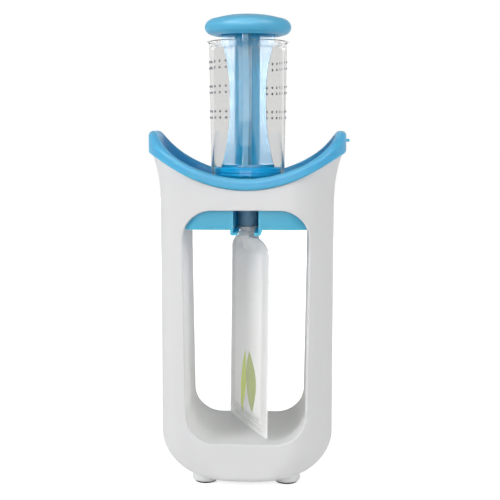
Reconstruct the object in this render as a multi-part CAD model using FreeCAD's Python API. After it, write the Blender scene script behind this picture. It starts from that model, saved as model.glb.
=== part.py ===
"""Food pouch filling station.

A white frame stands on four feet round an open window.  A blue saddle-shaped
tray lies on top of it and carries a clear filling tube over the window.  The
pouch hangs in the window: its spout slides into rails under the tray, below
the tube's nozzle, and a fluted plunger presses the food down into it.

Millimetres.  The origin is on the table, under the tube's axis.  +Z is up and
the front of the station faces -Y.
"""
import FreeCAD, Part
import math
import os

Vector = FreeCAD.Vector
UP = Vector(0, 0, 1)
REACH = 400.0                     # longer than anything, for cutting blocks

# ---------------------------------------------------------------- dimensions
# Frame: a front and a rear shell, parted at y = 0
FRAME_WIDTH = 118.8
FRAME_DEPTH = 88.0
PLAN_CORNER_R = 32.0              # upright corners, seen from above
BASE_CORNER_R = 30.0              # lower corners, seen from the front
BASE_EDGE_R = 5.0                 # softened edge round the underside
FRAME_WALL = 2.4
FLARE_R = 93.0                    # the sides swing outward at the top
FLARE_BELOW_APRON_TOP = 7.0       # where the swing starts
FLARE_SECTIONS = 5                # sections that the swing is lofted through
BASE_SECTIONS = 9                 # sections that the base is lofted through
FOOT_HEIGHT = 3.4                 # underside of the frame above the table

# Window: the open tunnel that the pouch hangs in
SILL_THICKNESS = 27.1             # underside of the frame to the window floor
WINDOW_HEIGHT = 157.8
WINDOW_FLOOR_WIDTH = 80.3
WINDOW_HEAD_WIDTH = 84.8
WINDOW_CORNER_R = 20.0
WINDOW_EDGE_R = 0.9
APRON_HEIGHT = 13.1               # strip over the window, at the middle

# Feet
FOOT_SPACING_X = 55.8
FOOT_SPACING_Y = 54.0
FOOT_BOSS_R = 9.2
FOOT_BOSS_SHRINK = 1.0            # boss narrower at its tip
FOOT_PAD_R = 7.3
FOOT_PAD_PROUD = 1.4              # pad below its boss
FOOT_PAD_SUNK = 1.0               # pad inside its boss
FOOT_PAD_EDGE_R = 0.5

# Screws that close the two shells, driven in from the rear
SCREW_SHANK_R = 1.5
SCREW_HEAD_R = 3.0
SCREW_HEAD_HEIGHT = 2.2
SCREW_SOCKET_R = 1.1
SCREW_SEAT_Y = 9.0                # underside of the head behind the parting
SCREW_BITE = 10.0                 # thread in the front shell
SCREW_BOSS_R = 4.6
SCREW_HOLE_CLEARANCE = 0.4
SCREW_BASE_SPREAD = 48.0          # between the two screws in the base
SCREW_LEG_HEIGHTS = (58.0, 160.0)

# Tray: saddle-shaped, with a rolled rim
SADDLE_RISE = 25.2                # of its parabola, from the middle out to the ears
SADDLE_EAR_LIFT = 5.9             # how much more the rim's top turns up at the ears
SADDLE_EAR_FADE = 1.08            # less of it per mm of depth, down the rim's band
SADDLE_EAR_POWER = 8
SADDLE_POINTS = 24                # steps that the saddle's curve is drawn through
RIM_BAND = 7.6
RIM_TOP_R = 3.0                   # rolled top, both edges
RIM_LOWER_R = 1.6                 # outer lower edge
RIM_STEP = 0.5                    # ledge of the basin's wall inside the rim
RIM_FACE = 20.0                   # upright faces of the lofted rim, trimmed below
RIM_STATIONS = 6                  # steps that each corner of the rim is lofted through
RIM_OVERHANG_FRONT = 2.0
TRAY_WIDTH = 134.6
TRAY_CORNER_R = 34.0
TRAY_WALL = 2.2
BASIN_DEPTH = 9.0
BASIN_FLOOR_R = 3.5
LANDING_RISE = 0.8                # flat landing for the tube above the basin's floor
LANDING_THICKNESS = 3.0
RIM_SEAT_GAP = 0.3                # rim to the frame's saddle edge
TRAY_CLEARANCE = 0.5              # tray inside the frame
TAB_LENGTH = 2.8                  # small finger tab on the right ear
TAB_WIDTH = 7.0
TAB_THICKNESS = 2.0
TAB_BELOW_EAR_TOP = 5.3

# Skirt and spout rails under the tray
SKIRT_BELOW_WINDOW_HEAD = 12.9
SKIRT_WALL = 2.0
SKIRT_RIB = 1.8
SKIRT_RIB_OFFSET = 25.0
SKIRT_RIB_SETBACK = 2.0           # ribs end above the skirt's edge
CHANNEL_WIDTH = 17.1
RAIL_WALL = 1.8
RAIL_DROP = 3.7                   # rails below the skirt
RAIL_LIP = 1.8
RAIL_SLOT = 11.2
RAIL_CORNER_R = 1.3
CHANNEL_MOUTH_HEIGHT = 18.0

# Filling tube and its seat in the tray
TUBE_HEIGHT = 99.9                # seat to the lip of the mouth
TUBE_BORE_R = 23.8
TUBE_TOP_R = 26.5
TUBE_FOOT_R = 25.4
TUBE_LIP_R = 28.0
TUBE_LIP_HEIGHT = 4.2
TUBE_LIP_WALL = 1.8
TUBE_SEAT_R = 23.0
TUBE_SEAT_HEIGHT = 4.4
TUBE_SHOULDER_HEIGHT = 14.4
TUBE_FLOOR = 2.6
FUNNEL_RISE = 3.4
FUNNEL_EDGE = 4.2                 # rounded corner between the bore and the funnel
NOZZLE_CHAMFER = 1.0
NOZZLE_R = 7.0
NOZZLE_WALL = 1.9
NOZZLE_GAP = 0.3                  # nozzle over the spout, so the pouch can slide
SEAT_CLEARANCE = 0.4
SEAT_RING_WALL = 2.2
SEAT_RING_HEIGHT = 3.6
KEY_WIDTH = 5.0                   # lug that turns the tube to its place
KEY_HEIGHT = 9.0
KEY_PROUD = 1.6

# Plunger
KNOB_R = 29.6
KNOB_THICKNESS = 13.4
KNOB_OVER_TUBE = 4.7              # pressed down, knob above the tube's lip
KNOB_MOUTH_R = 18.6
KNOB_HOLLOW_DEPTH = 9.6
KNOB_ROLL = 4.8                   # roll of the edge at the underside
STEM_END_R = 18.4
STEM_WAIST_R = 12.6
STEM_FIN = 3.8
STEM_FILLET_R = 8.0
STEM_WAIST_FROM = 0.47            # straight waist, as shares of the stem's height
STEM_WAIST_TO = 0.57
STEM_TURN = -4.0                  # fins turned off the axes, degrees
STEM_FLANGE = 2.0
PISTON_R = 23.0
PISTON_HEIGHT = 8.0
PISTON_FUNNEL_GAP = 0.5
PISTON_EDGE = 0.8
SEAL_GROOVE_DEPTH = 1.8
SEAL_GROOVE_HEIGHT = 3.2
SEAL_CLEARANCE = 0.3
SEAL_LIP = 0.6                    # height of each lip's slope

# Pouch
SPOUT_FLANGE_R = 8.25
SPOUT_FLANGE = 1.1
SPOUT_NECK_R = 5.3
SPOUT_BORE_R = 4.0
SPOUT_BAG_GAP = 0.3               # the bag turns with its cleat, the neck stays
CLEAT_HALF = 14.0                 # boat-shaped foot of the spout, inside the film
CLEAT_HEIGHT = 11.0
CLEAT_THICKNESS = 11.4
BAG_WIDTH = 76.5
BAG_FLOOR_GAP = 1.0
BAG_TOP_BELOW_RAILS = 4.3
BAG_SHOULDER_R = 16.0
BAG_FOOT_R = 2.0
BAG_EDGE_THICKNESS = 1.0
BAG_BELLY = 5.2
BAG_TURN = 18.8                   # near edge swung to the right, degrees

# ------------------------------------------------------- heights built on them
frame_z = FOOT_HEIGHT
floor_z = frame_z + SILL_THICKNESS
head_z = floor_z + WINDOW_HEIGHT
apron_z = head_z + APRON_HEIGHT
flare_z = apron_z - FLARE_BELOW_APRON_TOP
rim_z = apron_z + RIM_SEAT_GAP + RIM_BAND
well_inset = FRAME_WALL + TRAY_CLEARANCE
rim_width = RIM_OVERHANG_FRONT + well_inset + TRAY_WALL - RIM_STEP
ear_x = (TRAY_WIDTH - rim_width) / 2
ear_z = rim_z + SADDLE_RISE + SADDLE_EAR_LIFT
skirt_z = head_z - SKIRT_BELOW_WINDOW_HEAD
rail_z = skirt_z - RAIL_DROP
lip_z = rail_z + RAIL_LIP
seat_z = rim_z - BASIN_DEPTH + LANDING_RISE
spout_z = lip_z + SPOUT_FLANGE
nozzle_z = spout_z + NOZZLE_GAP
tube_z = seat_z + TUBE_HEIGHT
funnel_z = seat_z + TUBE_FLOOR + FUNNEL_RISE
piston_z = funnel_z + PISTON_FUNNEL_GAP
stem_z = piston_z + PISTON_HEIGHT
bag_z = rail_z - BAG_TOP_BELOW_RAILS
knob_z = tube_z + KNOB_OVER_TUBE


# ------------------------------------------------------------------- helpers
def rounded(points, radii):
    """Closed flat wire through the points, each corner an arc of its radius."""
    corners = []
    for i, corner in enumerate(points):
        back = (points[i - 1] - corner).normalize()
        ahead = (points[(i + 1) % len(points)] - corner).normalize()
        half = back.getAngle(ahead) / 2
        reach = radii[i] / math.tan(half)
        middle = (back + ahead).normalize()
        depth = radii[i] / math.sin(half) - radii[i]
        corners.append((corner + back * reach, corner + middle * depth, corner + ahead * reach))
    edges = []
    for i, (start, middle, end) in enumerate(corners):
        if radii[i] > 0:
            edges.append(Part.Arc(start, middle, end).toShape())
        following = corners[(i + 1) % len(corners)][0]
        if (following - end).Length > 1e-6:
            edges.append(Part.LineSegment(end, following).toShape())
    return Part.Wire(edges)


def plan_rectangle(half_x, half_y, radius, z):
    """Rounded rectangle seen from above, at height z."""
    points = [Vector(-half_x, -half_y, z), Vector(half_x, -half_y, z),
              Vector(half_x, half_y, z), Vector(-half_x, half_y, z)]
    return rounded(points, [radius] * 4)


def extrude(wire, direction):
    return Part.Face(wire).extrude(direction)


def revolve(points):
    """Solid of revolution about Z; points are (radius, z), arcs as (mid, end)."""
    edges = []
    here = Vector(points[0][0], 0, points[0][1])
    for point in points[1:]:
        if isinstance(point[0], tuple):
            (mr, mz), (er, ez) = point
            there = Vector(er, 0, ez)
            edges.append(Part.Arc(here, Vector(mr, 0, mz), there).toShape())
        else:
            there = Vector(point[0], 0, point[1])
            edges.append(Part.LineSegment(here, there).toShape())
        here = there
    first = Vector(points[0][0], 0, points[0][1])
    if (first - here).Length > 1e-6:
        edges.append(Part.LineSegment(here, first).toShape())
    return Part.Face(Part.Wire(edges)).revolve(Vector(), UP, 360)


def disc(radius, z, height, x=0.0, y=0.0):
    return Part.makeCylinder(radius, height, Vector(x, y, z))


def block(x0, x1, y0, y1, z0, z1):
    return Part.makeBox(x1 - x0, y1 - y0, z1 - z0, Vector(x0, y0, z0))


def healed(shape):
    """The shape with small faults of a lofted surface's edges mended."""
    shape.fix(1e-4, 1e-5, 1e-3)
    return shape


def write(name, shape):
    shape = shape.removeSplitter()
    solids = shape.Solids
    out = solids[0] if len(solids) == 1 else Part.makeCompound(solids)
    out.exportStep("parts/%s.step" % name)
    return out


# --------------------------------------------------------- forms shared by parts
def flare(z):
    """How far each side of the frame has swung out at height z."""
    rise = max(0.0, z - flare_z)
    return FLARE_R - math.sqrt(FLARE_R ** 2 - rise ** 2)


def frame_form(inset, bottom):
    """The frame's upright outside, drawn in by inset all round, from bottom upward."""
    half_x = FRAME_WIDTH / 2 - inset
    half_y = FRAME_DEPTH / 2 - inset
    radius = PLAN_CORNER_R - inset
    column = extrude(plan_rectangle(half_x, half_y, radius, bottom), UP * (flare_z - bottom))
    steps = FLARE_SECTIONS - 1
    heights = [flare_z + (ear_z - flare_z) * i / steps for i in range(steps + 1)]
    sections = [plan_rectangle(half_x + flare(z), half_y, radius, z) for z in heights]
    return column.fuse(Part.makeLoft(sections, True))


def shrink(radius, height):
    """How far a quarter arc of that radius has drawn in at a height above its foot."""
    return radius - math.sqrt(radius ** 2 - max(0.0, radius - height) ** 2)


def base_form(inset):
    """The frame's base: wide round corners left and right, a small edge front and rear."""
    corner_r = BASE_CORNER_R - inset
    edge_r = BASE_EDGE_R - inset
    sections = []
    for i in range(BASE_SECTIONS + 1):
        height = corner_r * (1 - math.sin(math.radians(90 * i / BASE_SECTIONS)))
        edge = shrink(edge_r, height)
        sections.append(plan_rectangle(FRAME_WIDTH / 2 - inset - shrink(corner_r, height),
                                       FRAME_DEPTH / 2 - inset - edge,
                                       PLAN_CORNER_R - inset - edge, frame_z + inset + height))
    return Part.makeLoft(sections, True)


def saddle_height(x, depth):
    """Height of the saddle surface that lies depth below the rim's top, at x."""
    share = abs(x) / ear_x
    ear = SADDLE_EAR_LIFT - SADDLE_EAR_FADE * min(depth, RIM_BAND)
    return rim_z - depth + SADDLE_RISE * share ** 2 + ear * share ** SADDLE_EAR_POWER


def over_saddle(depth):
    """Everything above the saddle surface that lies depth below the rim's top."""
    half = ear_x + 2 * rim_width
    steps = [half * (2 * i / SADDLE_POINTS - 1) for i in range(SADDLE_POINTS + 1)]
    points = [Vector(x, -REACH, saddle_height(x, depth)) for x in steps]
    curve = Part.BSplineCurve()
    curve.interpolate(points)
    left, right = points[0], points[-1]
    far_right, far_left = Vector(REACH, -REACH, right.z), Vector(-REACH, -REACH, left.z)
    lines = Part.makePolygon([right, far_right, far_right + UP * REACH,
                              far_left + UP * REACH, far_left, left])
    return extrude(Part.Wire([curve.toShape()] + lines.Edges), Vector(0, 2 * REACH, 0))


def lies_on_saddle(edge, depth):
    """True if the edge runs along the saddle surface at that depth."""
    span = edge.LastParameter - edge.FirstParameter
    spots = [edge.valueAt(edge.FirstParameter + span * share) for share in (0.1, 0.5, 0.9)]
    return all(abs(p.z - saddle_height(p.x, depth)) < 0.1 for p in spots)


def borders(edge, shape):
    """True if the whole edge lies on the skin of the shape."""
    span = edge.LastParameter - edge.FirstParameter
    spots = [edge.valueAt(edge.FirstParameter + span * share) for share in (0.1, 0.5, 0.9)]
    skin = Part.makeCompound(shape.Faces)
    return all(Part.Vertex(p).distToShape(skin)[0] < 1e-3 for p in spots)


def window_half(z):
    """Half width of the window at height z."""
    share = (z - floor_z) / WINDOW_HEIGHT
    return (WINDOW_FLOOR_WIDTH + share * (WINDOW_HEAD_WIDTH - WINDOW_FLOOR_WIDTH)) / 2


def window_form(grow, top, top_radius):
    """The window seen from the front, as a block right through the frame."""
    low, high = window_half(floor_z) + grow, window_half(top) + grow
    points = [Vector(-low, -REACH, floor_z - grow), Vector(low, -REACH, floor_z - grow),
              Vector(high, -REACH, top), Vector(-high, -REACH, top)]
    radius = WINDOW_CORNER_R + grow
    wire = rounded(points, [radius, radius, top_radius, top_radius])
    return extrude(wire, Vector(0, 2 * REACH, 0))


# --------------------------------------------------------------------- frame
def screw_places():
    well_r = SCREW_HEAD_R + SCREW_HOLE_CLEARANCE
    leg_x = window_half(head_z) + FRAME_WALL + well_r
    base_height = (frame_z + floor_z) / 2
    places = [(side * SCREW_BASE_SPREAD / 2, base_height) for side in (-1, 1)]
    places += [(side * leg_x, z) for z in SCREW_LEG_HEIGHTS for side in (-1, 1)]
    return places


def foot_places():
    return {"front_left": (-FOOT_SPACING_X / 2, -FOOT_SPACING_Y / 2),
            "front_right": (FOOT_SPACING_X / 2, -FOOT_SPACING_Y / 2),
            "rear_left": (-FOOT_SPACING_X / 2, FOOT_SPACING_Y / 2),
            "rear_right": (FOOT_SPACING_X / 2, FOOT_SPACING_Y / 2)}


def foot_boss(x, y):
    """Domed boss under the frame."""
    tip = FOOT_PAD_PROUD
    lower_r = FOOT_BOSS_R - FOOT_BOSS_SHRINK
    root = frame_z + SILL_THICKNESS / 4
    middle = (FOOT_BOSS_R - FOOT_BOSS_SHRINK / 6, tip + (frame_z - tip) * 0.4)
    shape = revolve([(0, tip), (lower_r, tip), (middle, (FOOT_BOSS_R, frame_z)),
                     (FOOT_BOSS_R, root), (0, root)])
    shape.translate(Vector(x, y, 0))
    return shape


def along_y(radius, x, z, y0, y1):
    return Part.makeCylinder(radius, y1 - y0, Vector(x, y0, z), Vector(0, 1, 0))


def frame():
    """Both shells as one hollow body."""
    base_top = frame_z + BASE_CORNER_R
    outside = base_form(0).fuse(frame_form(0, base_top))
    inside = base_form(FRAME_WALL).fuse(frame_form(FRAME_WALL, base_top))
    tunnel = window_form(FRAME_WALL, ear_z, 0).cut(window_form(0, ear_z + 1, 0))
    tunnel = tunnel.common(inside).cut(over_saddle(BASIN_DEPTH + TRAY_WALL + RIM_SEAT_GAP + 1))
    shell = outside.cut(inside).fuse(tunnel)
    bosses = [along_y(SCREW_BOSS_R, x, z, -REACH, REACH) for x, z in screw_places()]
    bosses += [foot_boss(x, y) for x, y in foot_places().values()]
    shell = shell.fuse([boss.common(outside) for boss in bosses])
    shell = shell.fuse([foot_boss(x, y) for x, y in foot_places().values()])
    window = window_form(0, head_z, WINDOW_CORNER_R)
    shell = shell.cut(window).removeSplitter()
    mouth = [e for e in shell.Edges if borders(e, window) and borders(e, outside)]
    shell = shell.makeFillet(WINDOW_EDGE_R, mouth)
    shell = shell.cut(over_saddle(RIM_BAND + RIM_SEAT_GAP))
    pads = [disc(FOOT_PAD_R, 0, FOOT_PAD_PROUD + FOOT_PAD_SUNK, x, y)
            for x, y in foot_places().values()]
    return shell.cut(pads)


def front_shell(whole):
    shell = whole.common(block(-REACH, REACH, -REACH, 0, -REACH, REACH))
    pilots = [along_y(SCREW_SHANK_R, x, z, -SCREW_BITE - 1, 1) for x, z in screw_places()]
    return shell.cut(pilots)


def rear_shell(whole):
    shell = whole.common(block(-REACH, REACH, 0, REACH, -REACH, REACH))
    holes = [along_y(SCREW_SHANK_R + SCREW_HOLE_CLEARANCE, x, z, -1, REACH)
             for x, z in screw_places()]
    wells = [along_y(SCREW_HEAD_R + SCREW_HOLE_CLEARANCE, x, z, SCREW_SEAT_Y, REACH)
             for x, z in screw_places()]
    return shell.cut(holes + wells)


def shell_screws():
    """Pan-head screws with a hexagon socket, one group."""
    screws = []
    for x, z in screw_places():
        shank = along_y(SCREW_SHANK_R, x, z, -SCREW_BITE, SCREW_SEAT_Y)
        head = along_y(SCREW_HEAD_R, x, z, SCREW_SEAT_Y, SCREW_SEAT_Y + SCREW_HEAD_HEIGHT)
        corners = [Vector(x + SCREW_SOCKET_R * math.cos(math.radians(60 * i)),
                          SCREW_SEAT_Y + SCREW_HEAD_HEIGHT / 3,
                          z + SCREW_SOCKET_R * math.sin(math.radians(60 * i))) for i in range(6)]
        socket = extrude(rounded(corners, [0] * 6), Vector(0, SCREW_HEAD_HEIGHT, 0))
        screws.append(shank.fuse(head).cut(socket).removeSplitter())
    return Part.makeCompound(screws)


def foot_pad(x, y):
    pad = disc(FOOT_PAD_R, 0, FOOT_PAD_PROUD + FOOT_PAD_SUNK, x, y)
    low = [e for e in pad.Edges if e.BoundBox.ZMax < 1e-3]
    return pad.makeFillet(FOOT_PAD_EDGE_R, low)


# ---------------------------------------------------------------------- tray
def rim_plan(inset):
    half_x = TRAY_WIDTH / 2 - inset
    half_y = FRAME_DEPTH / 2 + RIM_OVERHANG_FRONT - inset
    wire = plan_rectangle(half_x, half_y, TRAY_CORNER_R - inset, skirt_z)
    return extrude(wire, UP * REACH)


def rim_section(x, y, turn):
    """Profile of the rim over a point of its middle line; turn is 0 facing front, 90 right."""
    out = Vector(math.sin(math.radians(turn)), -math.cos(math.radians(turn)), 0)
    middle = Vector(x, y, saddle_height(x, 0))
    outer, inner = middle + out * (rim_width / 2), middle - out * (rim_width / 2)
    points = [outer - UP * RIM_FACE, inner - UP * RIM_FACE, inner, outer]
    return rounded(points, [0, 0, RIM_TOP_R, RIM_TOP_R])


def rolled_rim():
    """A quarter of the rim, front to right: an upright band with a rolled top."""
    half_y = FRAME_DEPTH / 2 + RIM_OVERHANG_FRONT - rim_width / 2
    radius = TRAY_CORNER_R - rim_width / 2
    turn_x, turn_y = ear_x - radius, half_y - radius
    sections = [rim_section(turn_x * i / 3, -half_y, 0) for i in range(3)]
    for i in range(RIM_STATIONS + 1):
        turn = 90 * i / RIM_STATIONS
        sections.append(rim_section(turn_x + radius * math.sin(math.radians(turn)),
                                    -turn_y - radius * math.cos(math.radians(turn)), turn))
    sections += [rim_section(ear_x, -turn_y * share, 90) for share in (0.5, 0)]
    band = Part.makeLoft(sections, True).common(over_saddle(RIM_BAND))
    middle = rim_plan(rim_width / 2)
    lower = [e for e in band.Edges if lies_on_saddle(e, RIM_BAND)
             and e.BoundBox.XMax > 1e-3 and e.BoundBox.YMin < -1e-3
             and not middle.isInside(e.valueAt(e.FirstParameter), 1e-3, True)]
    return band.makeFillet(RIM_LOWER_R, lower)


def basin():
    """Rim and basin: one quarter, mirrored to the other three."""
    quarter = block(0, REACH, -REACH, 0, 0, REACH)
    well = frame_form(well_inset, skirt_z).common(over_saddle(BASIN_DEPTH + TRAY_WALL))
    ledge = rim_plan(rim_width / 2).common(over_saddle(RIM_BAND))
    body = well.cut(over_saddle(RIM_BAND)).fuse(ledge.cut(over_saddle(RIM_BAND - RIM_LOWER_R)))
    hollow = frame_form(well_inset + TRAY_WALL, skirt_z).common(over_saddle(BASIN_DEPTH))
    hollow = hollow.common(rim_plan(rim_width + RIM_STEP)).removeSplitter()
    floor = [e for e in hollow.Edges if lies_on_saddle(e, BASIN_DEPTH)]
    hollow = hollow.makeFillet(BASIN_FLOOR_R, floor)
    shape = body.cut(hollow).common(quarter).fuse(rolled_rim())
    shape = healed(shape)
    shape = healed(shape.fuse(shape.mirror(Vector(), Vector(1, 0, 0))))
    return healed(shape.fuse(shape.mirror(Vector(), Vector(0, 1, 0))).removeSplitter())


def stadium(half_width, z0, z1):
    """Slot block from in front of the tray back to a round end at the axis."""
    front = -FRAME_DEPTH
    slot = block(-half_width, half_width, front, 0, z0, z1)
    return slot.fuse(disc(half_width, z0, z1 - z0))


def rails():
    """Channel with an L-shaped lip along each side; the spout hangs in it."""
    outer = stadium(CHANNEL_WIDTH / 2 + RAIL_WALL, rail_z, seat_z).removeSplitter()
    low = [e for e in outer.Edges if e.BoundBox.ZMax < rail_z + 1e-3 and
           e.BoundBox.YMax > -FRAME_DEPTH + 1]
    outer = outer.makeFillet(RAIL_CORNER_R, low)
    outer = outer.common(frame_form(well_inset, rail_z - 1))
    outer = outer.cut(stadium(CHANNEL_WIDTH / 2, lip_z, seat_z + 1))
    return outer.cut(stadium(RAIL_SLOT / 2, rail_z - 1, lip_z + 1))


def skirt():
    """Box under the basin that drops into the frame, with ribs beside the rails."""
    half = window_half(skirt_z) - TRAY_CLEARANCE
    prism = block(-half, half, -REACH, REACH, skirt_z, seat_z)
    outer = prism.common(frame_form(well_inset, skirt_z - 1))
    inner_half = half - SKIRT_WALL
    inner = block(-inner_half, inner_half, -REACH, REACH, skirt_z - 1, seat_z + 1)
    inner = inner.common(frame_form(well_inset + SKIRT_WALL, skirt_z - 2))
    wall = outer.cut(inner)
    ribs = []
    for y in (-SKIRT_RIB_OFFSET, 0, SKIRT_RIB_OFFSET):
        rib = block(-half, half, y - SKIRT_RIB / 2, y + SKIRT_RIB / 2, skirt_z + SKIRT_RIB_SETBACK, seat_z)
        ribs.append(rib.common(outer))
    return wall.fuse(ribs)


def tube_seat():
    """Flat landing and low ring round the tube's foot."""
    ring_r = TUBE_SEAT_R + SEAT_CLEARANCE
    landing = disc(ring_r + SEAT_RING_WALL, seat_z - LANDING_THICKNESS, LANDING_THICKNESS)
    ring = disc(ring_r + SEAT_RING_WALL, seat_z, SEAT_RING_HEIGHT)
    return landing.fuse(ring)


def tab():
    """Small finger tab on the right ear."""
    top = ear_z - TAB_BELOW_EAR_TOP
    end = TRAY_WIDTH / 2 + TAB_LENGTH
    shape = block(ear_x, end, -TAB_WIDTH / 2, TAB_WIDTH / 2, top - TAB_THICKNESS, top)
    outer_edges = [e for e in shape.Edges if e.BoundBox.XMin > end - 1e-3]
    return shape.makeFillet(TAB_THICKNESS * 0.4, outer_edges)


def tray():
    ring_r = TUBE_SEAT_R + SEAT_CLEARANCE
    under = skirt().fuse(rails()).cut(over_saddle(BASIN_DEPTH + TRAY_WALL / 2))
    mouth = block(-CHANNEL_WIDTH / 2, CHANNEL_WIDTH / 2, -FRAME_DEPTH, 0, lip_z,
                  lip_z + CHANNEL_MOUTH_HEIGHT)
    passage = stadium(CHANNEL_WIDTH / 2, lip_z, seat_z - LANDING_THICKNESS)
    shape = basin().fuse([under, tube_seat(), tab()])
    shape = shape.cut(disc(ring_r, seat_z, TUBE_HEIGHT))
    shape = shape.cut(mouth.cut(over_saddle(BASIN_DEPTH + TRAY_WALL))).cut(
        passage.cut(over_saddle(BASIN_DEPTH + TRAY_WALL)).common(frame_form(well_inset, rail_z)))
    shape = shape.cut(stadium(RAIL_SLOT / 2, rail_z - 1, lip_z + 1))
    shape = shape.cut(disc(NOZZLE_R + SEAT_CLEARANCE, rail_z, REACH))
    key = block(-KEY_WIDTH / 2 - SEAT_CLEARANCE, KEY_WIDTH / 2 + SEAT_CLEARANCE,
                -ring_r - KEY_PROUD - SEAT_CLEARANCE, 0, seat_z, seat_z + REACH)
    return shape.cut(key)


# ---------------------------------------------------------------------- tube
def fill_tube():
    """Clear tube with a flared lip, a funnel floor and the nozzle."""
    lip_low = tube_z - TUBE_LIP_HEIGHT
    lip_bow = 0.23 * (TUBE_LIP_R - TUBE_TOP_R)
    shoulder = seat_z + TUBE_SHOULDER_HEIGHT
    seat_top = seat_z + TUBE_SEAT_HEIGHT
    middle = (TUBE_SEAT_R + 0.75 * (TUBE_FOOT_R - TUBE_SEAT_R),
              seat_top + 0.5 * (shoulder - seat_top))
    bore_floor = TUBE_BORE_R - FUNNEL_EDGE
    corner_top = funnel_z + 0.76 * FUNNEL_EDGE
    corner_middle = (TUBE_BORE_R - 0.29 * FUNNEL_EDGE, funnel_z + 0.22 * FUNNEL_EDGE)
    hole = NOZZLE_R - NOZZLE_WALL
    outline = [(hole, nozzle_z), (NOZZLE_R, nozzle_z), (NOZZLE_R, seat_z),
               (TUBE_SEAT_R, seat_z), (TUBE_SEAT_R, seat_top),
               (middle, (TUBE_FOOT_R, shoulder)),
               (TUBE_TOP_R, lip_low),
               ((TUBE_TOP_R + lip_bow, lip_low + 0.6 * TUBE_LIP_HEIGHT), (TUBE_LIP_R, tube_z)),
               (TUBE_LIP_R - TUBE_LIP_WALL, tube_z),
               ((TUBE_BORE_R + lip_bow, lip_low), (TUBE_BORE_R, lip_low - TUBE_LIP_HEIGHT)),
               (TUBE_BORE_R, corner_top), (corner_middle, (bore_floor, funnel_z)),
               (hole + NOZZLE_CHAMFER, seat_z + TUBE_FLOOR),
               (hole, seat_z + TUBE_FLOOR - NOZZLE_CHAMFER)]
    tube = revolve(outline)
    key = block(-KEY_WIDTH / 2, KEY_WIDTH / 2, -TUBE_SEAT_R - KEY_PROUD, -TUBE_BORE_R / 2,
                seat_z, seat_z + KEY_HEIGHT)
    return tube.fuse(key.cut(disc(TUBE_BORE_R, seat_z + TUBE_FLOOR, TUBE_HEIGHT)))


# ------------------------------------------------------------------- plunger
def plunger_knob():
    """Bun-shaped knob, hollow underneath."""
    top = knob_z + KNOB_THICKNESS
    equator = knob_z + KNOB_THICKNESS * 0.42
    roll = KNOB_R - KNOB_ROLL
    outline = [(0, top), ((KNOB_R * 0.52, top - 0.15 * KNOB_ROLL),
                          (KNOB_R * 0.80, top - 0.57 * KNOB_ROLL)),
               ((KNOB_R - 0.30 * KNOB_ROLL, equator + 0.6 * KNOB_ROLL), (KNOB_R, equator)),
               ((KNOB_R - 0.29 * KNOB_ROLL, knob_z + 0.33 * KNOB_ROLL), (roll, knob_z)),
               ((KNOB_MOUTH_R + 0.2 * KNOB_ROLL, knob_z + 0.16 * KNOB_ROLL),
                (KNOB_MOUTH_R, knob_z + 0.55 * KNOB_ROLL)),
               (KNOB_MOUTH_R, knob_z + KNOB_HOLLOW_DEPTH),
               (0, knob_z + KNOB_HOLLOW_DEPTH)]
    return revolve(outline)


def plunger_stem():
    """Four fins with deep round fillets between them, waisted like an hourglass."""
    low = stem_z
    high = knob_z + KNOB_HOLLOW_DEPTH
    length = knob_z - low
    half = STEM_FIN / 2
    reach = 1.1 * STEM_END_R
    points = []
    radii = []
    for turn in range(4):
        angle = math.radians(90 * turn)
        c, s = math.cos(angle), math.sin(angle)
        for x, y, radius in ((reach, -half, half * 0.6), (reach, half, half * 0.6),
                             (half, half, STEM_FILLET_R)):
            points.append(Vector(x * c - y * s, x * s + y * c, low))
            radii.append(radius)
    cross = extrude(rounded(points, radii), UP * (high - low))
    cross.rotate(Vector(), UP, STEM_TURN)
    waist_low, waist_high = low + length * STEM_WAIST_FROM, low + length * STEM_WAIST_TO
    quarter_r = STEM_WAIST_R + (STEM_END_R - STEM_WAIST_R) / 4
    waist = revolve([(0, low), (STEM_END_R, low),
                     ((quarter_r, (low + waist_low) / 2), (STEM_WAIST_R, waist_low)),
                     (STEM_WAIST_R, waist_high),
                     ((quarter_r, (waist_high + tube_z) / 2), (STEM_END_R, tube_z)),
                     (STEM_END_R, high), (0, high)])
    flange = disc(STEM_END_R, low, STEM_FLANGE)
    return cross.common(waist).fuse(flange)


def piston():
    """Disc on the stem's foot with a groove for the seal."""
    groove_z = piston_z + (PISTON_HEIGHT - SEAL_GROOVE_HEIGHT) / 2
    core = PISTON_R - SEAL_GROOVE_DEPTH
    top = piston_z + PISTON_HEIGHT
    floor_r = TUBE_BORE_R - FUNNEL_EDGE - PISTON_EDGE
    outline = [(0, piston_z), (floor_r, piston_z),
               ((PISTON_R - 1.4 * PISTON_EDGE, piston_z + PISTON_EDGE),
                (PISTON_R, groove_z - PISTON_EDGE / 4)),
               (PISTON_R, groove_z), (core, groove_z),
               (core, groove_z + SEAL_GROOVE_HEIGHT), (PISTON_R, groove_z + SEAL_GROOVE_HEIGHT),
               (PISTON_R, top - PISTON_EDGE), (PISTON_R - PISTON_EDGE, top), (0, top)]
    return revolve(outline)


def piston_seal():
    """Soft ring with two lips that wipe the bore."""
    low = piston_z + (PISTON_HEIGHT - SEAL_GROOVE_HEIGHT) / 2
    high = low + SEAL_GROOVE_HEIGHT
    core = PISTON_R - SEAL_GROOVE_DEPTH
    lip = TUBE_BORE_R - SEAL_CLEARANCE
    waist = lip - SEAL_LIP
    outline = [(core, low), (lip - SEAL_LIP / 2, low), (lip, low + SEAL_LIP),
               (waist, low + 2 * SEAL_LIP), (waist, high - 2 * SEAL_LIP),
               (lip, high - SEAL_LIP), (lip - SEAL_LIP / 2, high), (core, high)]
    return revolve(outline)


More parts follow.
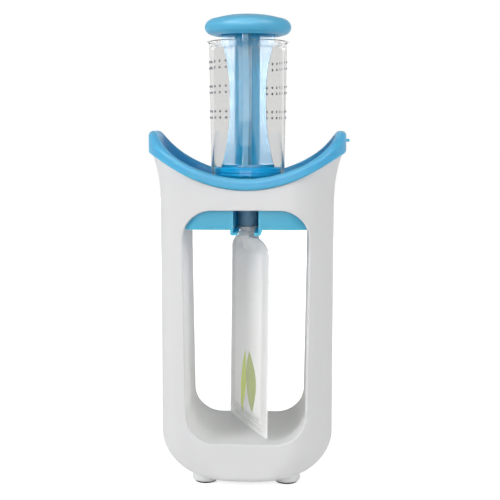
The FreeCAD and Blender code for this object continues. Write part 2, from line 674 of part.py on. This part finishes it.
# --------------------------------------------------------------------- pouch
def cleat():
    """Boat-shaped foot of the spout, wrapped in the bag's film."""
    def boat(half_length, half_width, z):
        front, rear = Vector(0, -half_length, z), Vector(0, half_length, z)
        return Part.Wire([Part.Arc(front, Vector(half_width, 0, z), rear).toShape(),
                          Part.Arc(rear, Vector(-half_width, 0, z), front).toShape()])
    top = boat(CLEAT_HALF, CLEAT_THICKNESS / 2, bag_z)
    foot = boat(CLEAT_HALF, BAG_BELLY / 2, bag_z - CLEAT_HEIGHT)
    return Part.makeLoft([top, foot], True)


def pouch_spout():
    """Flanged round spout that hangs in the rails."""
    low = bag_z + SPOUT_BAG_GAP
    body = disc(SPOUT_NECK_R, low, lip_z - low)
    flange = disc(SPOUT_FLANGE_R, lip_z, SPOUT_FLANGE)
    bore = disc(SPOUT_BORE_R, low, spout_z - low)
    return body.fuse(flange).cut(bore)


def pouch_bag():
    """Flat empty bag, a little fuller at the middle."""
    low = floor_z + BAG_FLOOR_GAP
    high = bag_z
    half = BAG_WIDTH / 2
    points = [Vector(-REACH, -half, low), Vector(-REACH, half, low),
              Vector(-REACH, half, high), Vector(-REACH, -half, high)]
    radii = [BAG_FOOT_R, BAG_FOOT_R, BAG_SHOULDER_R, BAG_SHOULDER_R]
    outline = extrude(rounded(points, radii), Vector(2 * REACH, 0, 0))
    edge = BAG_EDGE_THICKNESS / 2
    belly = BAG_BELLY / 2
    front_a, front_b = Vector(edge, -half - 1, low), Vector(-edge, -half - 1, low)
    rear_a, rear_b = Vector(edge, half + 1, low), Vector(-edge, half + 1, low)
    lens = Part.Wire([Part.Arc(front_a, Vector(belly, 0, low), rear_a).toShape(),
                      Part.LineSegment(rear_a, rear_b).toShape(),
                      Part.Arc(rear_b, Vector(-belly, 0, low), front_b).toShape(),
                      Part.LineSegment(front_b, front_a).toShape()])
    bag = extrude(lens, UP * (high - low)).common(outline)
    bag = bag.fuse(cleat())
    bag.rotate(Vector(), UP, BAG_TURN)
    return bag


# --------------------------------------------------------------------- build
os.makedirs("parts", exist_ok=True)
whole_frame = frame()
write("front_shell", front_shell(whole_frame))
write("rear_shell", rear_shell(whole_frame))
write("shell_screws", shell_screws())
for corner, (foot_x, foot_y) in foot_places().items():
    write("foot_pad_" + corner, foot_pad(foot_x, foot_y))
write("tray", tray())
write("fill_tube", fill_tube())
write("plunger_knob", plunger_knob())
write("plunger_stem", plunger_stem())
write("piston", piston())
write("piston_seal", piston_seal())
write("pouch_spout", pouch_spout())
write("pouch_bag", pouch_bag())
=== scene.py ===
"""Looks of the food pouch filling station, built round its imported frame.

Metres, in the frame of the CAD model: the tube's axis is Z, the front faces -Y.
"""
import math

import bpy
from mathutils import Euler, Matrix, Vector


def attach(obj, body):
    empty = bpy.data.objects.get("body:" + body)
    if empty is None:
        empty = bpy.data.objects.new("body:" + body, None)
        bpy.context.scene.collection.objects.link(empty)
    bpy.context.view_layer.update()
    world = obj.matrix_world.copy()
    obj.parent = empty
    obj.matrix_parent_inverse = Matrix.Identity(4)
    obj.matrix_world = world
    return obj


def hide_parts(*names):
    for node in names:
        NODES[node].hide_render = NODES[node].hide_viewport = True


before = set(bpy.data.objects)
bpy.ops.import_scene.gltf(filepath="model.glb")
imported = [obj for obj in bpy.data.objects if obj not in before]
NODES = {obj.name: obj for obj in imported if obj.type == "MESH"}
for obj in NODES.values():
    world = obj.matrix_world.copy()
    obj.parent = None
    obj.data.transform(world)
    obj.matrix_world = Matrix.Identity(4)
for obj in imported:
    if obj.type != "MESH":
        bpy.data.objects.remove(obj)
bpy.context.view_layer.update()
MM = 0.001


# ------------------------------------------------------------------ node helpers
class Nodes:
    """An emptied node tree and short ways to fill it."""

    def __init__(self, tree):
        self.tree = tree
        self.tree.nodes.clear()

    def add(self, kind, **settings):
        node = self.tree.nodes.new(kind)
        for name, value in settings.items():
            setattr(node, name, value)
        return node

    def link(self, source, target):
        self.tree.links.new(source, target)

    def put(self, value, socket):
        """A number, a colour or another node's output into a socket."""
        if isinstance(value, bpy.types.NodeSocket):
            self.link(value, socket)
        else:
            socket.default_value = value

    def where(self, kind="Object"):
        return self.add("ShaderNodeTexCoord").outputs[kind]

    def parts(self, kind="Object"):
        """The place's three components."""
        split = self.add("ShaderNodeSeparateXYZ")
        self.link(self.where(kind), split.inputs[0])
        return split.outputs[0], split.outputs[1], split.outputs[2]

    def rays(self):
        """1 for camera and transmission rays, and 1 for glossy rays."""
        path = self.add("ShaderNodeLightPath").outputs
        straight = self.math("MAXIMUM", path["Is Camera Ray"], path["Is Transmission Ray"])
        return straight, path["Is Glossy Ray"]

    def noise(self, scale, detail=3.0, rough=0.5, stretch=None):
        """Noise over the piece; scale is features per metre."""
        place = self.where()
        if stretch:
            mapping = self.add("ShaderNodeMapping")
            mapping.inputs["Scale"].default_value = stretch
            self.link(place, mapping.inputs["Vector"])
            place = mapping.outputs[0]
        node = self.add("ShaderNodeTexNoise")
        node.inputs["Scale"].default_value = scale
        node.inputs["Detail"].default_value = detail
        node.inputs["Roughness"].default_value = rough
        self.link(place, node.inputs["Vector"])
        return node.outputs["Fac"]

    def span(self, value, low, high, to_low, to_high, smooth=False):
        """Values from low to high turned into to_low to to_high, held beyond them."""
        node = self.add("ShaderNodeMapRange")
        if smooth:
            node.interpolation_type = "SMOOTHSTEP"
        self.put(value, node.inputs["Value"])
        for name, number in (("From Min", low), ("From Max", high),
                             ("To Min", to_low), ("To Max", to_high)):
            node.inputs[name].default_value = number
        return node.outputs["Result"]

    def mix(self, factor, a, b):
        node = self.add("ShaderNodeMix", data_type="RGBA")
        self.put(factor, node.inputs[0])
        for value, socket in ((a, node.inputs[6]), (b, node.inputs[7])):
            if not isinstance(value, bpy.types.NodeSocket):
                value = (*value[:3], 1.0)
            self.put(value, socket)
        return node.outputs[2]

    def math(self, operation, *values):
        node = self.add("ShaderNodeMath", operation=operation)
        for value, socket in zip(values, node.inputs):
            self.put(value, socket)
        return node.outputs[0]

    def bump(self, height, strength, distance, normal=None):
        node = self.add("ShaderNodeBump")
        node.inputs["Strength"].default_value = strength
        node.inputs["Distance"].default_value = distance
        self.link(height, node.inputs["Height"])
        if normal is not None:
            self.link(normal, node.inputs["Normal"])
        return node.outputs[0]


class Tree(Nodes):
    """A material with one Principled shader."""

    SOCKETS = {"color": "Base Color", "rough": "Roughness", "coat": "Coat Weight",
               "coat_rough": "Coat Roughness", "metal": "Metallic", "ior": "IOR",
               "transmission": "Transmission Weight", "normal": "Normal",
               "subsurface": "Subsurface Weight", "radius": "Subsurface Radius",
               "scale": "Subsurface Scale", "specular": "Specular IOR Level",
               "alpha": "Alpha", "glow": "Emission Strength", "glow_color": "Emission Color"}

    def __init__(self, name):
        self.material = bpy.data.materials.new(name)
        self.material.use_nodes = True
        super().__init__(self.material.node_tree)
        self.shader = self.add("ShaderNodeBsdfPrincipled")
        self.out = self.add("ShaderNodeOutputMaterial")
        self.link(self.shader.outputs[0], self.out.inputs["Surface"])

    def set(self, **sockets):
        for name, value in sockets.items():
            if name in ("color", "glow_color") and not isinstance(value, bpy.types.NodeSocket):
                value = (*value[:3], 1.0)
            self.put(value, self.shader.inputs[self.SOCKETS[name]])


def shaded(color, factor):
    return tuple(min(1.0, channel * factor) for channel in color)


# --------------------------------------------------------------------- materials
WHITE = (0.795, 0.795, 0.80)
TRAY_BLUE = (0.10, 0.48, 0.77)
KNOB_BLUE = (0.095, 0.48, 0.75)
STEM_BLUE = (0.008, 0.26, 0.47)
PISTON_BLUE = (0.001, 0.29, 0.60)
RUBBER_BLACK = (0.035, 0.035, 0.037)
SPOUT_WHITE = (0.84, 0.85, 0.86)
# The tube's satin floor and nozzle are tinted blue: painted light from the tray round them.
CLEAR, SATIN_PAINTED_BLUE = (0.82, 0.82, 0.812), (0.62, 0.88, 1.0)
DOT_GREY, DOT_PALE = (0.33, 0.33, 0.36), (0.42, 0.42, 0.45)
STEEL, STEEL_PALE = (0.42, 0.43, 0.45), (0.58, 0.59, 0.61)
FILM_GREY = (0.90, 0.90, 0.885)
LEAF_GREEN = (0.40, 0.46, 0.17)
LEAF_LIME = (0.60, 0.70, 0.04)

# Moulded plastic's noises, in features per metre, and its orange peel's depth.
CLOUD_SCALE, SCUFF_SCALE, GLOSS_SCALE, PEEL_SCALE = 22.0, 60.0, 95.0, 620.0
PEEL_DEPTH = 0.3 * MM
# The satin strip along the stem's front and rear fins, its colour darkened as painted shade.
STRIP_EDGE, STRIP_ROUGH, STRIP_PAINTED_SHADE = 0.4 * MM, 0.95, 0.70
# Heights on the tube: satin with painted blue light below the first, and the lip's pale part
# between the others.
SATIN_BLUE_LIGHT_BELOW, LIP_FROM, LIP_TOP = 206.0 * MM, 296.0 * MM, 301.0 * MM
LIP_ALPHA = 0.3
TUBE_IOR = 1.28


def moulded(name, color, rough, coat=0.0, peel=0.04, change=0.03, satin_shaded_middle=None, **more):
    """Moulded plastic: faint cloudiness, uneven gloss, orange peel and fine scuffs.

    A half width for the middle leaves a satin strip there, its colour darkened as painted
    shade.
    """
    t = Tree(name)
    base = t.mix(t.noise(CLOUD_SCALE), shaded(color, 1 - change), shaded(color, 1 + change))
    scuff = t.noise(SCUFF_SCALE, 6.0, 0.7, stretch=(1.0, 1.0, 14.0))
    scuff = t.span(scuff, 0.60, 0.74, 0.0, 0.10)
    gloss = t.span(t.noise(GLOSS_SCALE, 4.0), 0.3, 0.7, rough - 0.03, rough + 0.05)
    gloss = t.math("ADD", gloss, scuff)
    if satin_shaded_middle:
        across, _, _ = t.parts()
        middle = t.span(t.math("ABSOLUTE", across), satin_shaded_middle - STRIP_EDGE, satin_shaded_middle,
                        1.0, 0.0)
        gloss = t.math("MAXIMUM", gloss, t.math("MULTIPLY", middle, STRIP_ROUGH))
        # Painted shade: the strip's colour is darkened.
        base = t.mix(middle, base, shaded(color, STRIP_PAINTED_SHADE))
    t.set(color=base, rough=gloss, coat=coat, coat_rough=0.12,
          normal=t.bump(t.noise(PEEL_SCALE, 2.0), peel, PEEL_DEPTH), **more)
    return t.material


def clear_plastic():
    """Clear tube; its floor and the nozzle below it have a satin finish and painted blue light
    from the tray.

    Its lip, where the flare would bend dark lines into view, is partly see-through.
    """
    t = Tree("clear_plastic")
    _, _, up = t.parts()
    satin = t.span(up, SATIN_BLUE_LIGHT_BELOW - 1.0 * MM, SATIN_BLUE_LIGHT_BELOW + 1.0 * MM, 1.0, 0.0)
    scratch = t.noise(110.0, 8.0, 0.75, stretch=(1.0, 1.0, 0.08))
    polished = t.span(scratch, 0.55, 0.8, 0.015, 0.10)
    lip = t.math("MAXIMUM", t.span(up, LIP_FROM, LIP_FROM + 1.5 * MM, 1.0, LIP_ALPHA),
                 t.span(up, LIP_TOP - 1.3 * MM, LIP_TOP - 0.7 * MM, LIP_ALPHA, 1.0))
    # Below the satin height the colour is painted blue light from the tray.
    t.set(color=t.mix(satin, CLEAR, SATIN_PAINTED_BLUE), ior=TUBE_IOR, specular=0.5, alpha=lip,
          transmission=t.math("SUBTRACT", 1.0, t.math("MULTIPLY", satin, 0.55)),
          rough=t.math("MAXIMUM", polished, t.math("MULTIPLY", satin, 0.4)),
          normal=t.bump(t.noise(140.0, 2.0), 0.03, PEEL_DEPTH))
    return t.material


def dot_plastic():
    t = Tree("dot_plastic")
    t.set(color=t.mix(t.noise(900.0), DOT_GREY, DOT_PALE), transmission=0.25, rough=0.35,
          ior=TUBE_IOR)
    return t.material


def steel():
    t = Tree("screw_steel")
    turned = t.noise(700.0, 4.0, 0.6, stretch=(1.0, 0.08, 1.0))
    t.set(color=t.mix(turned, STEEL, STEEL_PALE), metal=1.0,
          rough=t.span(turned, 0.3, 0.7, 0.25, 0.42))
    return t.material


def dress_nodes():
    """The materials of the pieces whose meshes come from the CAD model."""
    white = moulded("white_plastic", WHITE, 0.38, peel=0.03, change=0.012, specular=0.15)
    tray_blue = moulded("tray_plastic", TRAY_BLUE, 0.34, specular=0.3, subsurface=0.8,
                        radius=(0.35, 0.8, 1.0), scale=10 * MM)
    knob_blue = moulded("knob_plastic", KNOB_BLUE, 0.40, specular=0.45)
    # The stem's fin strip is satin, and darkened as painted shade.
    stem_blue = moulded("plunger_plastic", STEM_BLUE, 0.18, coat=0.4, peel=0.02, ior=2.3,
                        satin_shaded_middle=3.0 * MM)
    piston_blue = moulded("piston_plastic", PISTON_BLUE, 0.35, specular=0.12)
    seal_blue = moulded("seal_silicone", PISTON_BLUE, 0.42, peel=0.08, specular=0.2)
    rubber = moulded("foot_rubber", RUBBER_BLACK, 0.75, peel=0.25, change=0.2)
    spout_white = moulded("spout_plastic", SPOUT_WHITE, 0.38, subsurface=0.6,
                          radius=(1.0, 1.0, 1.0), scale=4 * MM)
    for node, material in (
            ("front_shell", white), ("rear_shell", white), ("shell_screws", steel()),
            ("foot_pad_front_left", rubber), ("foot_pad_front_right", rubber),
            ("foot_pad_rear_left", rubber), ("foot_pad_rear_right", rubber),
            ("tray", tray_blue), ("fill_tube", clear_plastic()), ("plunger_knob", knob_blue),
            ("plunger_stem", stem_blue), ("piston", piston_blue), ("piston_seal", seal_blue),
            ("pouch_spout", spout_white)):
        slots = NODES[node].data.materials
        slots.clear()
        slots.append(material)


# ------------------------------------------------------------------ mesh helpers
def new_mesh(name, vertices, faces, material, smooth=True):
    mesh = bpy.data.meshes.new(name)
    mesh.from_pydata([tuple(v) for v in vertices], [], faces)
    mesh.validate()
    mesh.update()
    mesh.polygons.foreach_set("use_smooth", [smooth] * len(mesh.polygons))
    mesh.materials.append(material)
    thing = bpy.data.objects.new(name, mesh)
    bpy.context.scene.collection.objects.link(thing)
    return thing


def ring(around, place):
    """The points that place gives for equal steps round a full turn."""
    turns = [2 * math.pi * k / around for k in range(around)]
    return [place(math.cos(turn), math.sin(turn)) for turn in turns]


def lathe(name, profile, material, around=64):
    """Closed ring turned about Z from a closed profile of (radius, z)."""
    vertices, faces = [], []
    for points in ring(around, lambda c, s: [(r * c, r * s, z) for r, z in profile]):
        vertices += points
    n = len(profile)
    for k in range(around):
        here, there = k * n, (k + 1) % around * n
        for i in range(n):
            j = (i + 1) % n
            faces.append((here + i, there + i, there + j, here + j))
    return new_mesh(name, vertices, faces, material)


# -------------------------------------------------------------------- tube's dots
TUBE_FOOT_Z, TUBE_FOOT_R = 0.2155, 0.0254
TUBE_LIP_Z, TUBE_LIP_R = 0.2968, 0.0265
# Heights of the three pairs' upper rows and the way down to their lower rows; the angle
# in degrees of each group's first dot and the step to the next.
DOT_ROWS, DOT_ROW_DROP = (0.2872, 0.2706, 0.2537), 0.0042
DOT_STARTS, DOT_STEP, DOTS_IN_ROW = (-32.5, 149.5), 12.0, 6
DOT_RADIUS, DOT_PROUD, DOT_SUNK = 0.95 * MM, 0.55 * MM, 0.15 * MM


def tube_radius(z):
    """Outside radius of the tube between its foot and its lip."""
    share = (z - TUBE_FOOT_Z) / (TUBE_LIP_Z - TUBE_FOOT_Z)
    return TUBE_FOOT_R + share * (TUBE_LIP_R - TUBE_FOOT_R)


def add_dot(vertices, faces, angle, z, rings=4, around=14):
    """A low dome on the tube's wall, closed by a face inside the wall."""
    out = Vector((math.sin(angle), -math.cos(angle), 0))
    side = Vector((math.cos(angle), math.sin(angle), 0))
    up = Vector((0, 0, 1))
    foot = out * (tube_radius(z) - DOT_SUNK) + up * z
    base = len(vertices)
    for level in range(rings):
        rise = math.pi / 2 * level / rings
        middle = foot + out * (math.sin(rise) * (DOT_PROUD + DOT_SUNK))
        wide = math.cos(rise) * DOT_RADIUS
        vertices += ring(around, lambda c, s: middle + side * (wide * c) + up * (wide * s))
    vertices.append(foot + out * (DOT_PROUD + DOT_SUNK))
    tip = base + rings * around
    for level in range(rings):
        for k in range(around):
            a = base + level * around + k
            b = base + level * around + (k + 1) % around
            faces.append((a, b, b + around, a + around) if level < rings - 1 else (a, b, tip))
    faces.append(tuple(base + k for k in reversed(range(around))))


def tube_dots():
    """Pairs of rows of small raised dots, in two groups that face each other."""
    vertices, faces = [], []
    for row_top in DOT_ROWS:
        for z in (row_top, row_top - DOT_ROW_DROP):
            for start in DOT_STARTS:
                for step in range(DOTS_IN_ROW):
                    add_dot(vertices, faces, math.radians(start - DOT_STEP * step), z)
    return new_mesh("tube_dots", vertices, faces, dot_plastic())


# -------------------------------------------------------------------------- pouch
# The bag's outline, before its turn about the spout's axis.
BAG_HALF = 38.25 * MM
BAG_LOW, BAG_HIGH = 31.5 * MM, 167.4 * MM
SHOULDER_IN, SHOULDER_DOWN = 26.0 * MM, 11.0 * MM
BAG_FOOT = 2.0 * MM
BAG_TURN = math.radians(21.6)
BAG_SHIFT, BAG_LEAN = 1.6 * MM, 0.010
# The film's form: flat seam, belly inside it, one fold down the middle, ripples, small
# folds that pull towards the spout, and room for the spout's boat-shaped foot.
SEAM, BELLY_RISE, BELLY = 6.0 * MM, 9.0 * MM, 1.0 * MM
FILM, FOLD, RIPPLE = 0.30 * MM, 1.5 * MM, 0.16 * MM
PULL, PULL_REACH, PULL_PITCH, PULL_SPREAD = 0.42 * MM, 70 * MM, 1.5 * MM, 0.54
CLEAT_HALF, CLEAT_HIGH, CLEAT_THICK = 14.0 * MM, 11.0 * MM, 5.6 * MM
BAG_COLUMNS, BAG_ROWS = 97, 150
# How closely rows crowd to the bag's two ends, and columns to its two sides.
CROWD_ROWS, CROWD_COLUMNS = 0.012, 0.25
EMBOSS_PITCH = 2.4 * MM


def bag_half(z):
    """Half width of the bag's outline at height z."""
    half = BAG_HALF
    over = (z - (BAG_HIGH - SHOULDER_DOWN)) / SHOULDER_DOWN
    if over > 0:
        half -= SHOULDER_IN * (1 - math.sqrt(max(0.0, 1 - over ** 2)))
    under = BAG_LOW + BAG_FOOT - z
    if under > 0:
        half -= BAG_FOOT - math.sqrt(max(0.0, BAG_FOOT ** 2 - under ** 2))
    return half


def smoothstep(x):
    x = min(1.0, max(0.0, x))
    return x * x * (3 - 2 * x)


def film_offset(y, z, half, side):
    """How far the film on one side lies off the bag's middle plane."""
    to_edge = min(half - abs(y), z - BAG_LOW, (BAG_HIGH - z) * 1.2)
    inside = smoothstep((to_edge - SEAM) / BELLY_RISE)
    up = (z - BAG_LOW) / (BAG_HIGH - BAG_LOW)
    fold = -FOLD * (1 - abs(y) / BAG_HALF) * (0.35 + 0.65 * up)
    belly = BELLY * inside * (1 - (y / BAG_HALF) ** 2)
    ripple = RIPPLE * inside * (
        math.sin(y * 260 + 3.0 * math.sin(z * 47)) * math.sin(z * 96 + side)
        + 0.6 * math.sin(z * 210 + y * 90 + 2 * side))
    reach = max(0.0, z - (BAG_HIGH - PULL_REACH)) / PULL_REACH
    pull = PULL * inside * reach * math.sin(y / (PULL_PITCH + PULL_SPREAD * (BAG_HIGH - z)))
    deep = (z - (BAG_HIGH - CLEAT_HIGH)) / CLEAT_HIGH
    boat = 0.0
    if deep > 0 and abs(y) < CLEAT_HALF:
        boat = CLEAT_THICK * (0.45 + 0.55 * deep) * (1 - (y / CLEAT_HALF) ** 2)
        boat *= smoothstep(deep * 2.5)
    flat = FILM + belly + ripple + pull
    return fold * (1 - smoothstep(deep * 2)) + side * max(flat, boat)


def bag_mesh():
    """Two films on one outline, as one closed skin, with the seam's flat border."""
    columns, rows = BAG_COLUMNS, BAG_ROWS
    heights = []
    for j in range(rows + 1):
        share = j / rows
        share += CROWD_ROWS * math.sin(2 * math.pi * share)
        heights.append(BAG_LOW + (BAG_HIGH - BAG_LOW) * share)
    heights[0], heights[-1] = BAG_LOW, BAG_HIGH
    vertices, uvs = [], []
    for side in (-1, 1):
        for z in heights:
            half = bag_half(z)
            for i in range(columns + 1):
                share = 2 * i / columns - 1
                y = half * share * (1 + CROWD_COLUMNS - CROWD_COLUMNS * share * share)
                vertices.append((film_offset(y, z, half, side), y, z))
                uvs.append((y, z - BAG_LOW))
    stride = columns + 1
    other = stride * (rows + 1)
    faces = []
    for j in range(rows):
        for i in range(columns):
            a = j * stride + i
            quad = (a, a + 1, a + 1 + stride, a + stride)
            faces.append(tuple(reversed(quad)))
            faces.append(tuple(k + other for k in quad))
    rim = list(range(stride))
    rim += [j * stride + columns for j in range(1, rows + 1)]
    rim += [rows * stride + i for i in range(columns - 1, -1, -1)]
    rim += [j * stride for j in range(rows - 1, 0, -1)]
    for k, here in enumerate(rim):
        there = rim[(k + 1) % len(rim)]
        faces.append((here, there, there + other, here + other))
    c, s = math.cos(BAG_TURN), math.sin(BAG_TURN)
    turned = [(x * c - y * s + BAG_SHIFT - BAG_LEAN * (BAG_HIGH - z), x * s + y * c, z)
              for x, y, z in vertices]
    skin = new_mesh("pouch_film_bag", turned, faces, film())
    layer = skin.data.uv_layers.new(name="film")
    for loop in skin.data.loops:
        layer.data[loop.index].uv = uvs[loop.vertex_index]
    return skin


def leaf(t, across, up, middle_u, middle_v, length, width, tilt):
    """1 inside a pointed leaf, falling to 0 over its soft edge, and 1 along its vein."""
    c, s = math.cos(tilt), math.sin(tilt)
    u = t.math("SUBTRACT", across, middle_u)
    v = t.math("SUBTRACT", up, middle_v)
    along = t.math("ADD", t.math("MULTIPLY", v, c), t.math("MULTIPLY", u, s))
    beside = t.math("SUBTRACT", t.math("MULTIPLY", u, c), t.math("MULTIPLY", v, s))
    beside = t.math("ABSOLUTE", beside)
    bow = t.math("POWER", t.math("ABSOLUTE", t.math("DIVIDE", along, length / 2)), 2.0)
    half = t.math("MULTIPLY", t.math("SUBTRACT", 1.0, bow), width / 2)
    return (t.span(t.math("SUBTRACT", half, beside), 0.0, 0.35 * MM, 0, 1),
            t.span(beside, 0.25 * MM, 0.45 * MM, 1, 0))


def film():
    """Silver-grey film, embossed contour lines along its seam and a leaf print.

    Its faint glow stands for the light that the thin film lets through from behind.
    """
    t = Tree("pouch_film")
    across, up, _ = t.parts("UV")
    edge = t.math("SUBTRACT", BAG_HALF, t.math("ABSOLUTE", across))
    near_edge = t.math("SMOOTH_MIN", edge, up, 10 * MM)
    line = t.math("SINE", t.math("MULTIPLY", near_edge, 2 * math.pi / EMBOSS_PITCH))
    band = t.math("MULTIPLY", t.span(near_edge, 2.0 * MM, 3.2 * MM, 0, 1),
                  t.span(near_edge, 11.0 * MM, 13.0 * MM, 1, 0))
    seam = t.math("MULTIPLY", t.span(near_edge, 0.6 * MM, 0.9 * MM, 0, 1),
                  t.span(near_edge, 5.6 * MM, 6.0 * MM, 1, 0))
    broad, vein = leaf(t, across, up, -9.5 * MM, 34 * MM, 44 * MM, 19 * MM, 0.12)
    spear, spear_vein = leaf(t, across, up, 5.5 * MM, 31 * MM, 50 * MM, 11 * MM, -0.16)
    tint = t.noise(40.0, 4.0)
    base = t.mix(tint, shaded(FILM_GREY, 0.96), shaded(FILM_GREY, 1.04))
    base = t.mix(t.math("MULTIPLY", seam, 0.25), base, shaded(FILM_GREY, 1.12))
    green = t.mix(tint, LEAF_GREEN, shaded(LEAF_GREEN, 1.35))
    green = t.mix(t.math("MULTIPLY", vein, 0.5), green, LEAF_LIME)
    lime = t.mix(tint, LEAF_LIME, shaded(LEAF_LIME, 1.2))
    lime = t.mix(t.math("MULTIPLY", spear_vein, 0.35), lime, LEAF_GREEN)
    base = t.mix(spear, t.mix(broad, base, green), lime)
    crinkle = t.noise(130.0, 6.0, 0.6)
    normal = t.bump(crinkle, 0.18, 0.8 * MM)
    normal = t.bump(t.math("MULTIPLY", line, band), 0.9, 0.5 * MM, normal)
    t.set(color=base, rough=t.span(crinkle, 0.3, 0.7, 0.30, 0.46), coat=0.2,
          coat_rough=0.25, normal=normal, subsurface=0.7, glow=0.07, glow_color=FILM_GREY,
          radius=(1.0, 1.0, 1.0), scale=4 * MM)
    return t.material


def bag_collar(material):
    """Film drawn up round the foot of the spout's neck, clear of it and of the rails."""
    inner, outer, foot = 5.6 * MM, 6.3 * MM, 7.4 * MM
    low, high, edge = BAG_HIGH - 0.6 * MM, BAG_HIGH + 3.5 * MM, 0.3 * MM
    return lathe("pouch_collar", [
        (inner, low), (foot, low), (outer + edge, low + 1.3 * MM), (outer, high - edge),
        (outer - edge, high), (inner + edge, high), (inner, high - edge)], material)


# --------------------------------------------------------------- floor and lights
# The sky's soft light from all round, and what the front and the left add to it; then
# the same sky as gloss shows it: darker in front and brighter behind.
SKY_ALL, SKY_FRONT, SKY_LEFT = 0.155, 0.25, 0.14
SKY_SHEEN, SHEEN_FRONT, SHEEN_BACK = 0.35, 0.25, 0.40

FLOOR_RADIUS, FLOOR_SIDES = 3.0, 96
# The floor's own light, dimmer near the station than far from it.
FLOOR_NEAR, FLOOR_FAR, FLOOR_DIM = 0.10, 0.45, 0.68

# Name, place, aim, width and height, watts. The first group lights matt surfaces alone,
# the second shows only as gloss.
SOFT_LAMPS = (
    ("key_left", (-1.55, -0.95, 0.7), (0, 0, 0.16), 0.9, 1.1, 17.3),
    ("fill_right", (1.60, -0.88, 0.5), (0, 0, 0.16), 0.7, 1.1, 11.3),
    ("top_soft", (0.1, -0.5, 1.5), (0, 0, 0.2), 1.2, 1.2, 4.0),
    ("back_soft", (0.4, 1.4, 0.5), (0, 0, 0.1), 0.9, 0.9, 6.0))
GLOSS_LAMPS = (
    ("sheen_top", (0, -0.50, 1.5), (0, 0, 0.25), 1.4, 0.9, 14.0),
    ("sheen_left", (-1.0, -0.85, 1.2), (0, 0, 0.22), 0.7, 0.7, 18.0),
    ("sheen_right", (1.0, -0.85, 1.2), (0, 0, 0.22), 0.7, 0.7, 16.0),
    ("glint", (-0.15, -1.27, 0.62), (0, 0, 0.25), 1.00, 0.84, 16.0))


def floor_material():
    """Pale floor: a matt surface with some light of its own, white far away."""
    t = Tree("floor_white")
    t.set(color=t.mix(t.noise(3.0), (0.86, 0.86, 0.86), (0.88, 0.88, 0.88)), rough=0.9,
          specular=0.1)
    away = t.add("ShaderNodeVectorMath", operation="LENGTH")
    t.link(t.where(), away.inputs[0])
    straight, glossy = t.rays()
    seen = t.math("MAXIMUM", straight, t.math("MULTIPLY", glossy, SKY_SHEEN))
    near = t.span(away.outputs["Value"], FLOOR_NEAR, FLOOR_FAR, FLOOR_DIM, 1.0, smooth=True)
    glow = t.add("ShaderNodeEmission")
    glow.inputs["Color"].default_value = (1, 1, 1, 1)
    t.link(t.math("MULTIPLY", seen, near), glow.inputs["Strength"])
    both = t.add("ShaderNodeAddShader")
    t.link(t.shader.outputs[0], both.inputs[0])
    t.link(glow.outputs[0], both.inputs[1])
    t.link(both.outputs[0], t.out.inputs["Surface"])
    return t.material


def make_floor():
    vertices = [(0, 0, 0)] + ring(FLOOR_SIDES, lambda c, s: (FLOOR_RADIUS * c,
                                                             FLOOR_RADIUS * s, 0))
    faces = [(0, k + 1, (k + 1) % FLOOR_SIDES + 1) for k in range(FLOOR_SIDES)]
    new_mesh("floor", vertices, faces, floor_material(), smooth=False)


def make_world():
    """White to the camera and through clear plastic; softer, mostly frontal light."""
    world = bpy.data.worlds.new("studio")
    bpy.context.scene.world = world
    world.use_nodes = True
    t = Nodes(world.node_tree)
    right, back, _ = t.parts("Generated")
    frontal = t.math("MAXIMUM", t.math("MULTIPLY", back, -1.0), 0.0)
    behind = t.math("MAXIMUM", back, 0.0)
    left = t.math("MAXIMUM", t.math("MULTIPLY", right, -1.0), 0.0)
    soft = t.math("ADD", t.math("MULTIPLY", frontal, SKY_FRONT), SKY_ALL)
    soft = t.math("ADD", soft, t.math("MULTIPLY", left, SKY_LEFT))
    sheen = t.math("ADD", SKY_SHEEN, t.math("MULTIPLY", behind, SHEEN_BACK))
    sheen = t.math("SUBTRACT", sheen, t.math("MULTIPLY", frontal, SHEEN_FRONT))
    white, glossy = t.rays()
    matt = t.math("SUBTRACT", 1.0, t.math("MAXIMUM", white, glossy))
    shiny = t.math("SUBTRACT", glossy, t.math("MULTIPLY", white, glossy))
    strength = t.math("ADD", white, t.math("MULTIPLY", matt, soft))
    strength = t.math("ADD", strength, t.math("MULTIPLY", shiny, sheen))
    background = t.add("ShaderNodeBackground")
    background.inputs["Color"].default_value = (1, 1, 1, 1)
    t.link(strength, background.inputs["Strength"])
    t.link(background.outputs[0], t.add("ShaderNodeOutputWorld").inputs["Surface"])


def make_lamp(name, place, aim, width, height, watts, gloss):
    lamp = bpy.data.lights.new(name, "AREA")
    lamp.shape = "RECTANGLE"
    lamp.size, lamp.size_y = width, height
    lamp.energy = watts
    thing = bpy.data.objects.new(name, lamp)
    bpy.context.scene.collection.objects.link(thing)
    thing.location = place
    thing.visible_diffuse = not gloss
    thing.visible_glossy = thing.visible_transmission = gloss
    thing.rotation_euler = (Vector(aim) - Vector(place)).to_track_quat("-Z", "Y").to_euler()


# ------------------------------------------------------------------------- camera
def make_camera():
    """The camera; its focal length is given in pixels of a picture 500 pixels wide."""
    camera = bpy.data.objects.new("camera", bpy.data.cameras.new("camera"))
    bpy.context.scene.collection.objects.link(camera)
    yaw, pitch, roll = 0.0337, 0.1144, -0.0012
    sensor, focal_px, picture_px = 36.0, 1071.73, 500.0
    camera.data.sensor_width = sensor
    camera.data.lens = focal_px * sensor / picture_px
    camera.location = (0.02653, -0.74556, 0.24318)
    camera.rotation_euler = Euler((math.pi / 2 - pitch, roll, yaw), "XYZ")
    camera.data.clip_start, camera.data.clip_end = 0.01, 20.0
    bpy.context.scene.camera = camera


# -------------------------------------------------------------------------- scene
dress_nodes()

dots = tube_dots()
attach(dots, "tube")

bag = bag_mesh()
collar = bag_collar(bag.data.materials[0])
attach(collar, "bag")
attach(bag, "bag")
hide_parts("pouch_bag")

make_world()
make_floor()
for lamp_values in SOFT_LAMPS:
    make_lamp(*lamp_values, gloss=False)
for lamp_values in GLOSS_LAMPS:
    make_lamp(*lamp_values, gloss=True)
make_camera()
bpy.context.scene.view_settings.view_transform = "Standard"
